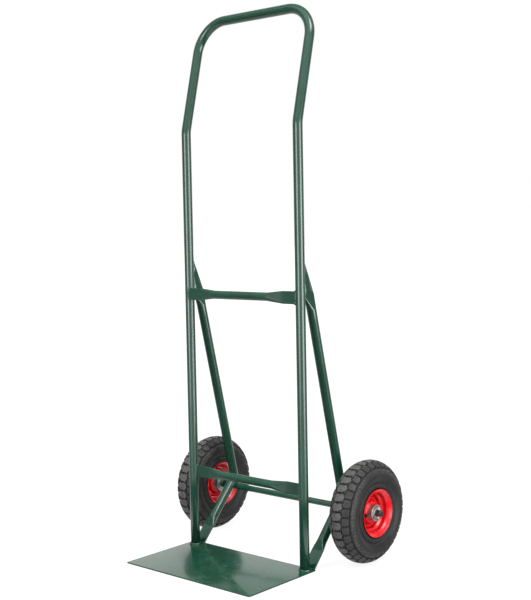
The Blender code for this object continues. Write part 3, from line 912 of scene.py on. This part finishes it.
def makeWelds():
    size = weld
    centre = Vector((uprightX, 0, plateHigh.z + size["proud"]))
    makeBead("UprightFoot", circlePath(centre, toRight, toBack, size["footRadius"]), 11, True)
    for which in ("upper", "lower"):
        bar = crossbars[which]
        halfTall, halfThick = tubeSection(crossbars)
        reach = uprightRadius + size["touch"]
        path = []
        for step in range(40):
            turn = 2 * pi * step / 40
            height = (halfTall - halfThick) * max(-1, min(1, 1.3 * sin(turn))) + halfThick * sin(turn)
            y = -bar["forward"] + (halfThick + size["touch"]) * cos(turn)
            x = uprightX - (max(0.0, reach ** 2 - y ** 2)) ** 0.5
            path.append(Vector((x, y, bar["height"] + height)))
        makeBead(f"Crossbar{which.title()}", path, 16, True, 0.85)
    # rear brace along the upright's back, both sides of the pressed end
    top = rearBrace["topHeight"]
    thick = tubeSection(rearBrace)[1]
    low = top - rearBrace["flat"] + 0.012
    y = uprightRadius - size["touch"]
    corners = [(thick, 0, low), (thick, 0, top - 0.002), (0, size["proud"], top + 0.001),
               (-thick, 0, top - 0.002), (-thick, 0, low)]
    path = [Vector((uprightX + across, y + behind, height)) for across, behind, height in corners]
    makeBead("BraceTop", path, 8, False, 0.95)
    # brace foot round the axle
    for label, x in (("Inner", uprightX - size["footApart"]), ("Outer", uprightX + size["footApart"])):
        ring = circlePath(axleMiddle + toRight * x, toBack, toTop, axleRadius + size["proud"],
                          -0.35, pi + 0.9)
        makeBead(f"BraceFoot{label}", ring, 14, False, 0.9)
    # lower brace: foot on the plate
    halfWide, halfThick = tubeSection(lowerBrace)
    foot = Vector((uprightX, plateHigh.y - lowerBrace["footInset"], plateHigh.z))
    front = -halfThick * 1.25
    path = [foot + Vector((halfWide * share, y, size["proud"]))
            for share, y in ((-1, 0), (-0.6, front), (0.6, front), (1, 0))]
    makeBead("LowerBraceFoot", path, 8, False, 0.9)
    # lower brace: top against the rear brace
    meeting = bracePoint(axleMiddle.z + lowerBrace["topAbove"])
    heading = (meeting - foot).normalized()
    braceLine = (bracePoint(0.5) - bracePoint(0.2)).normalized()
    path = []
    for step in range(48):
        turn = 2 * pi * step / 48
        across = toRight * cos(turn) + toRight.cross(heading) * sin(turn)
        offset = across * (lowerBrace["radius"] + fitGap)
        # walk back along the brace until it leaves the rear brace's round
        flat = offset - braceLine * offset.dot(braceLine)
        way = -heading - braceLine * (-heading).dot(braceLine)
        a, b = way.dot(way), 2 * flat.dot(way)
        c = flat.dot(flat) - (rearBrace["radius"] + size["touch"]) ** 2
        root = max(0.0, b * b - 4 * a * c)
        path.append(meeting + offset - heading * ((-b + root ** 0.5) / (2 * a)))
    makeBead("LowerBraceTop", path, 7, True, 0.85)


makeWelds()
print("stage: welds")


# finishes

def sumOf(operation, swapped=False):
    # a method that adds one maths node, with its two values the other way round if swapped
    def run(self, other=0.0):
        first, second = (other, self) if swapped else (self, other)
        return self.finish.maths(operation, first, second)

    return run


class Wire:
    # a socket of a finish, so that shader sums can be written as sums
    def __init__(self, finish, socket):
        self.finish = finish
        self.socket = socket

    __add__, __radd__ = sumOf("ADD"), sumOf("ADD", True)
    __sub__, __rsub__ = sumOf("SUBTRACT"), sumOf("SUBTRACT", True)
    __mul__, __rmul__ = sumOf("MULTIPLY"), sumOf("MULTIPLY", True)
    power, least, most = sumOf("POWER"), sumOf("MINIMUM"), sumOf("MAXIMUM")
    sine, size, arcSine = sumOf("SINE"), sumOf("ABSOLUTE"), sumOf("ARCSINE")
    turnFrom = sumOf("ARCTAN2")

    def rise(self, low, high, start=0.0, end=1.0):
        # from start to end, smoothly, while the value goes from low to high
        values = {"Value": self, "From Min": low, "From Max": high, "To Min": start, "To Max": end}
        return self.finish.add("ShaderNodeMapRange", {"interpolation_type": "SMOOTHSTEP"}, values)

    def fall(self, low, high):
        return self.rise(low, high, 1.0, 0.0)

    def between(self, low, high, soft):
        # 1 inside a range and 0 outside it, with soft ends
        return self.rise(low - soft, low + soft) * self.fall(high - soft, high + soft)

    def axes(self, names="XYZ"):
        return [self.finish.add("ShaderNodeSeparateXYZ", None, {0: self}, name) for name in names]


class Finish:
    # a material, or the studio's surroundings: every node comes from add
    def __init__(self, name, world=None, **fixed):
        self.material = world or bpy.data.materials.new(name)
        self.material.use_nodes = True
        self.tree = self.material.node_tree
        self.shader = self.tree.nodes["Background" if world else "Principled BSDF"]
        for key, value in fixed.items():
            self.shader.inputs[key.replace("_", " ")].default_value = value
        self.place = self.add("ShaderNodeTexCoord", output="Generated" if world else "Object")

    def add(self, kind, settings=None, values=None, output=0):
        node = self.tree.nodes.new(kind)
        for key, value in (settings or {}).items():
            setattr(node, key, value)
        for key, value in (values or {}).items():
            if isinstance(value, Wire):
                self.tree.links.new(value.socket, node.inputs[key])
            else:
                node.inputs[key].default_value = value
        return Wire(self, node.outputs[output])

    def maths(self, operation, first, second):
        return self.add("ShaderNodeMath", {"operation": operation}, {0: first, 1: second})

    def set(self, **links):
        for key, wire in links.items():
            self.tree.links.new(wire.socket, self.shader.inputs[key.replace("_", " ")])
        return self.material

    def moved(self, vector=(0, 0, 0), stretch=(1, 1, 1)):
        values = {"Vector": self.place, "Location": vector, "Scale": stretch}
        return self.add("ShaderNodeMapping", None, values)

    def noise(self, scale, detail=3.0, rough=0.5, vector=None, warp=0.0):
        values = {"Vector": vector or self.place, "Scale": scale, "Detail": detail, "Roughness": rough,
                  "Distortion": warp}
        return self.add("ShaderNodeTexNoise", None, values)

    def blend(self, factor, first, second):
        values = {0: factor, 6: first, 7: second}
        return self.add("ShaderNodeMix", {"data_type": "RGBA"}, values, 2)

    def bump(self, height, strength, distance, normal=None):
        values = {"Strength": strength, "Distance": distance, "Height": height}
        if normal:
            values["Normal"] = normal
        return self.add("ShaderNodeBump", None, values)

    def edges(self, reach):
        # 1 on convex edges: where a rounded normal leaves the true one
        bevel = self.add("ShaderNodeBevel", {"samples": 4}, {"Radius": reach})
        flat = self.add("ShaderNodeNewGeometry", output="Normal")
        same = self.add("ShaderNodeVectorMath", {"operation": "DOT_PRODUCT"}, {0: bevel, 1: flat}, "Value")
        return (1 - same).rise(0.01, 0.12)

    def fromAxle(self):
        # how far a spot is across from the truck's middle line, and back and up from the axle
        return self.moved(tuple(-value for value in axleMiddle)).axes()


def colour(red, green, blue):
    return (red, green, blue, 1.0)


def grey(share):
    return colour(share, share, share)


powderCoat = {
    "green": colour(0.004, 0.040, 0.023),
    "paler": colour(0.010, 0.054, 0.034),
    "deeper": colour(0.003, 0.033, 0.018),
    "chipped": colour(0.18, 0.22, 0.19),
    # painted shade: the near-black given to the axle's ends outside the wheels
    "paintedEndShade": colour(0.007, 0.008, 0.007),
    "roughness": 0.20,
    "peel": 0.0025,
}


def makePowderCoat():
    size = powderCoat
    finish = Finish("greenPowderCoat", Specular_IOR_Level=0.5, Coat_Weight=0.35, Coat_Roughness=0.12)
    fine = finish.noise(160.0, 4.0, 0.6)
    shade = finish.blend(finish.noise(9.0).rise(0.40, 0.62), size["deeper"], size["green"])
    shade = finish.blend(fine.rise(0.52, 0.78) * 0.3, shade, size["paler"])
    # dust caught on the upward faces, scuffs, and chips along the worn edges
    facing = finish.add("ShaderNodeNewGeometry", output="Normal").axes("Z")[0]
    dust = facing.rise(0.55, 0.95) * finish.noise(38.0, 5.0, 0.7).rise(0.42, 0.75)
    shade = finish.blend(dust * 0.10, shade, colour(0.16, 0.20, 0.17))
    scratch = finish.noise(60.0, 6.0, 0.75, finish.moved(stretch=(1.0, 1.0, 0.07)), 1.2)
    scuff = scratch.rise(0.665, 0.70) * finish.noise(14.0, 2.0).rise(0.50, 0.66)
    chips = finish.edges(0.0009) * fine.rise(0.50, 0.60)
    worn = (scuff * 0.2 * facing.fall(0.55, 0.95) + chips * 0.3).least(1.0)
    shade = finish.blend(worn, shade, size["chipped"])
    # the axle's ends, outside the wheels, are painted almost black: painted shade for the dark that the ends
    # mirror
    outside = finish.place.axes("X")[0].size()
    paintedEndShade = outside.rise(wheelMiddle.x + 0.020, wheelMiddle.x + 0.030)
    shade = finish.blend(paintedEndShade * 0.85, shade, size["paintedEndShade"])
    rough = size["roughness"] + fine.rise(0.35, 0.75) * 0.02 + worn * 0.25 + dust * 0.08
    relief = finish.bump(finish.noise(170.0, 2.0, 0.4), size["peel"], 0.0006)
    relief = finish.bump(finish.noise(900.0, 2.0), 0.001, 0.0002, relief)
    return finish.set(Base_Color=shade, Roughness=rough, Normal=relief)


enamel = {
    "red": colour(0.60, 0.003, 0.008),
    "deeper": colour(0.50, 0.002, 0.006),
    "dust": colour(0.34, 0.10, 0.09),
    "roughness": 0.24,
}


def makeEnamel():
    size = enamel
    finish = Finish("redEnamel", Specular_IOR_Level=0.35, Coat_Weight=0.25, Coat_Roughness=0.22)
    fine = finish.noise(260.0, 4.0, 0.6)
    shade = finish.blend(finish.noise(30.0).rise(0.38, 0.64), size["deeper"], size["red"])
    grime = finish.noise(75.0, 6.0, 0.7).rise(0.56, 0.74)
    shade = finish.blend(grime * 0.10, shade, size["dust"])
    chips = finish.edges(0.0007) * fine.rise(0.56, 0.64)
    shade = finish.blend(chips * 0.7, shade, colour(0.20, 0.19, 0.18))
    rough = size["roughness"] + grime * 0.14 + chips * 0.3 + fine.rise(0.4, 0.8) * 0.05
    relief = finish.bump(finish.noise(520.0, 2.0, 0.4), 0.02, 0.0005)
    return finish.set(Base_Color=shade, Roughness=rough, Normal=relief)


rubber = {
    "tyre": grey(0.020),
    "bloom": colour(0.058, 0.057, 0.056),
    "worn": colour(0.084, 0.082, 0.081),
    "grip": grey(0.004),
    # dust colour; with edge below it also makes the tread blocks' lighter edges, partly worn rubber and partly a
    # painted highlight
    "dust": colour(0.115, 0.112, 0.110),
    "edge": 0.75,
    "roughness": 0.40,
    # distances from the axle at which each part of the tyre begins and is complete
    "treadStart": (0.1090, 0.1120),
    "sidewallEnd": (0.1030, 0.1100),
    "rimGapShade": (0.0640, 0.0668),
    "crown": (0.1272, 0.1288),
    "shadedShoulderEnd": (0.1274, 0.1286),
    "gritStart": (0.1000, 0.1080),
    "edgeStart": (0.0900, 0.0920),
    "ribBand": ((0.0715, 0.0735), (0.0800, 0.0820)),
    "tickBand": (0.0985, 0.1035, 0.0006),
    "glossBand": (0.0740, 0.0900, 0.0020),
}


def makeRubber(name, moulded):
    size = rubber
    finish = Finish(name, Specular_IOR_Level=0.22)
    broad = finish.noise(22.0, 4.0, 0.6)
    fine = finish.noise(340.0, 5.0, 0.7)
    shade = finish.blend(broad.rise(0.36, 0.66) * 0.4, size["tyre"], size["bloom"])
    shade = finish.blend(fine.rise(0.40, 0.70) * 0.35, shade, size["grip"])
    rough = size["roughness"] + fine.rise(0.3, 0.7) * 0.14 + broad.rise(0.4, 0.7) * 0.06
    relief = finish.bump(finish.noise(600.0, 4.0, 0.65), 0.5, 0.0006)
    if moulded:
        sideways, back, up = finish.fromAxle()
        radius = (back * back + up * up).power(0.5)
        turn = up.turnFrom(back)
        # how deep a spot lies under the tyre's outer shape: the grooves are painted dark, as painted shade
        across = (sideways.size() - wheelMiddle.x) * (1 / tyre["halfWidth"])
        tall = (radius - tyre["sectionMiddle"]) * (1 / (tyre["radius"] - tyre["sectionMiddle"]))
        deep = (1 - (across * across + tall * tall).power(0.5)) * tyre["halfWidth"]
        tread = radius.rise(*size["treadStart"])
        side = radius.fall(*size["sidewallEnd"]) * 0.55
        # the sidewall gets its darker tone, and the rubber right next to the rim's lip is painted dark as painted
        # shade
        gap = radius.fall(*size["rimGapShade"])
        shade = finish.blend(side.most(gap), shade, size["grip"])
        # painted shade: the grooves are darkened towards the grip colour
        groove = deep.rise(0.0005, 0.0024) * tread
        shade = finish.blend(groove * 0.6, shade, size["grip"])
        worn = deep.fall(0.0001, 0.0008) * tread * fine.rise(0.34, 0.62)
        shade = finish.blend(worn * radius.rise(*size["crown"]), shade, size["worn"])
        # painted shade: the shoulder blocks are darkened, as the side softboxes light them more than the middle
        # blocks
        shoulder = tread * radius.fall(*size["shadedShoulderEnd"])
        shade = finish.blend(shoulder * 0.2, shade, size["grip"])
        grit = finish.noise(520.0, 3.0, 0.7).rise(0.63, 0.70) * radius.rise(*size["gritStart"])
        shade = finish.blend(grit * 0.5, shade, size["dust"])
        # block edges lightened towards the dust colour: partly worn rubber, partly a painted highlight on the
        # edges
        edge = finish.edges(0.0013) * radius.rise(*size["edgeStart"])
        shade = finish.blend(edge * size["edge"], shade, size["dust"])
        # fine radial ribs moulded into the lower sidewall, and a ring of short ones on the band
        band = radius.rise(*size["ribBand"][0]) * radius.fall(*size["ribBand"][1])
        ribs = (turn * 150.0).sine() * band
        ticks = (turn * 100.0).sine().rise(0.2, 0.6) * radius.between(*size["tickBand"])
        relief = finish.bump(ribs + ticks, 0.35, 0.0006, relief)
        rough = rough + groove * 0.25 - radius.between(*size["glossBand"]) * 0.10
    return finish.set(Base_Color=shade, Roughness=rough, Normal=relief)


plating = {
    "zinc": colour(0.62, 0.63, 0.60),
    "tarnish": colour(0.30, 0.31, 0.29),
    "steel": colour(0.56, 0.56, 0.57),
    "oil": colour(0.12, 0.10, 0.08),
}


def makeSteel(name, base, other, rough, rings):
    finish = Finish(name, Metallic=1.0)
    broad = finish.noise(120.0, 4.0, 0.6)
    fine = finish.noise(700.0, 4.0, 0.7)
    shade = finish.blend(broad.rise(0.42, 0.70), base, other)
    back, up = finish.fromAxle()[1:]
    radius = (back * back + up * up).power(0.5)
    cut = (radius * rings + finish.noise(9.0, 1.0) * 4.0).sine()
    relief = finish.bump(fine, 0.10, 0.0002, finish.bump(cut, 0.12, 0.0001))
    rough = rough + broad.rise(0.4, 0.7) * 0.18 + fine.rise(0.4, 0.7) * 0.08
    return finish.set(Base_Color=shade, Roughness=rough, Normal=relief)


def makeCapPlastic():
    finish = Finish("capPlastic", Specular_IOR_Level=0.5)
    fine = finish.noise(600.0, 4.0, 0.6)
    shade = finish.blend(fine.rise(0.4, 0.7), grey(0.012), colour(0.030, 0.030, 0.031))
    relief = finish.bump(fine, 0.15, 0.0002)
    return finish.set(Base_Color=shade, Roughness=0.34 + fine.rise(0.3, 0.8) * 0.15, Normal=relief)


finishes = {
    "green_paint": makePowderCoat(),
    "red_paint": makeEnamel(),
    "tyre_rubber": makeRubber("tyreRubber", True),
    "tube_rubber": makeRubber("tubeRubber", False),
    "zinc_steel": makeSteel("zincPlating", plating["zinc"], plating["tarnish"], 0.26, 9000.0),
    "bearing_steel": makeSteel("bearingSteel", plating["steel"], plating["oil"], 0.20, 14000.0),
    "cap_plastic": makeCapPlastic(),
}
for piece, slot in pieces:
    piece.data.materials.clear()
    piece.data.materials.append(finishes[slot])
    if piece.name.startswith("rim") and piece.name.endswith("Left"):
        piece.visible_glossy = False        # keeps a red blot out of the toe plate
nodeSlots = {part["node"]: part["material_slot"] for part in frame["record"]["subparts"]}
for node, thing in frame["nodes"].items():
    for place in thing.material_slots:
        place.material = finishes[nodeSlots[node]]
print("stage: finishes")


# floor, light and camera

studio = {
    "floorHalf": 30.0,
    # the floor's white comes nearly all from its own glow, so it keeps no shadows
    "floor": grey(0.10),
    "floorSpeck": grey(0.11),
    "floorGlow": 0.90,
    "backdrop": 1.0,
    "behind": 0.85,             # brightness of the wall behind the truck
    "sides": 0.35,              # of the gaps beside it
    "front": 1.0,               # of the room behind the camera
    "above": 1.6,               # overhead, in front
    "aboveBehind": 0.45,        # and at the back
    "below": 0.18,              # of the ground in front
    "under": 1.4,               # and right below
    "gap": (-4.6, 0.0),         # a dark gap in the wall behind, in degrees, which the plate mirrors
    "panel": 8.0,               # the softboxes left and right of the camera
    "leftPanel": (-53.0, -27.0, -8.0),      # from and to, degrees round from the camera, and its foot
    "rightPanel": (36.0, 72.0, -11.0),
    "panelTop": 8.5,
    "upperPanel": (16.0, 56.0, 38.0, 66.0),  # a small softbox up on the right: from, to, foot and top
    "upperGlow": 11.0,
    "sun": 3.4,
    "sunFrom": (-0.25, -0.35, 0.9),
    "sunAngle": 40.0,
}


cameraView = {
    "azimuth": 41.28,
    "elevation": 3.94,
    "roll": -1.064,
    "distance": 2.8575,
    "lookAt": (0.0445, 0.0382, 0.6743),
    "lens": 66.5,
}


def makeFloor():
    chooseOnly()
    half = studio["floorHalf"]
    bpy.ops.mesh.primitive_plane_add(size=2 * half, location=(0, 0, -0.0006))
    floor = newPiece("floor")
    bpy.ops.mesh.subdivide(number_cuts=4)
    shut()
    finish = Finish("paleFloor", Specular_IOR_Level=0.0, Emission_Strength=studio["floorGlow"],
                    Emission_Color=grey(1.0))
    speck = finish.noise(3.0)
    shade = finish.blend(speck, studio["floor"], studio["floorSpeck"])
    floor.data.materials.append(finish.set(Base_Color=shade, Roughness=0.75 + speck * 0.1))
    # the floor is only a backdrop: it neither mirrors in the paint nor shades the truck
    floor.visible_glossy = False
    floor.visible_diffuse = False
    floor.visible_shadow = False


def makeSurroundings():
    size = studio
    world = bpy.data.worlds.new("studio")
    bpy.context.scene.world = world
    finish = Finish("studio", world, Color=grey(1.0))
    x, y, z = finish.place.axes()
    azimuth = radians(cameraView["azimuth"])
    ahead = x * sin(azimuth) - y * cos(azimuth)
    aside = x * cos(azimuth) + y * sin(azimuth)
    away = aside.turnFrom(ahead) * (180 / pi)       # 0 at the camera, 180 behind the truck
    upward = z.arcSine() * (180 / pi)
    light = away.size().rise(60.0, 85.0, size["front"], size["sides"])
    light = light + away.size().rise(108.0, 128.0) * (size["behind"] - light)
    above = away.size().rise(75.0, 110.0, size["above"], size["aboveBehind"])
    light = light + upward.rise(22.0, 40.0) * (above - light)
    low = upward.rise(-60.0, -30.0, size["under"], size["below"])
    low = low + away.size().rise(95.0, 125.0) * (size["behind"] - low)
    light = low + upward.rise(-23.0, -14.0) * (light - low)
    for start, end, foot in (size["leftPanel"], size["rightPanel"]):
        panel = away.between(start, end, 7.0) * upward.between(foot, size["panelTop"], 2.5)
        light = light + panel * size["panel"]
    start, end, foot, top = size["upperPanel"]
    light = light + away.between(start, end, 5.0) * upward.between(foot, top, 5.0) * size["upperGlow"]
    behind = aside.turnFrom(0.0 - ahead) * (180 / pi)
    gap = behind.between(*size["gap"], 0.35) * upward.between(11.0, 26.0, 2.5)
    light = light * (1.0 - gap * 0.9)
    rays = finish.add("ShaderNodeLightPath", output="Is Camera Ray")
    light = light + rays * (size["backdrop"] - light)
    finish.set(Strength=light)


def makeCamera():
    view = cameraView
    azimuth, elevation, roll = (radians(view[key]) for key in ("azimuth", "elevation", "roll"))
    back = Vector((sin(azimuth) * cos(elevation), -cos(azimuth) * cos(elevation), sin(elevation)))
    right = Vector((cos(azimuth), sin(azimuth), 0))
    up = back.cross(right)
    across = right * cos(roll) + up * sin(roll)
    rise = up * cos(roll) - right * sin(roll)
    turn = Matrix((across, rise, back)).transposed()
    place = Vector(view["lookAt"]) + back * view["distance"]
    bpy.ops.object.camera_add(location=place, rotation=turn.to_euler())
    camera = bpy.context.object
    camera.data.lens = view["lens"]
    camera.data.sensor_width = 36.0
    camera.data.clip_end = 200.0
    bpy.context.scene.camera = camera


bpy.context.scene.view_settings.view_transform = "Standard"
makeFloor()
makeSurroundings()
chooseOnly()
facing = Vector(studio["sunFrom"]).to_track_quat("Z", "Y")
bpy.ops.object.light_add(type="SUN", location=(0, 0, 4), rotation=facing.to_euler())
sun = bpy.context.object
sun.data.energy = studio["sun"]
sun.data.angle = radians(studio["sunAngle"])
sun.visible_glossy = False
makeCamera()
print("stage: floor, light and camera")
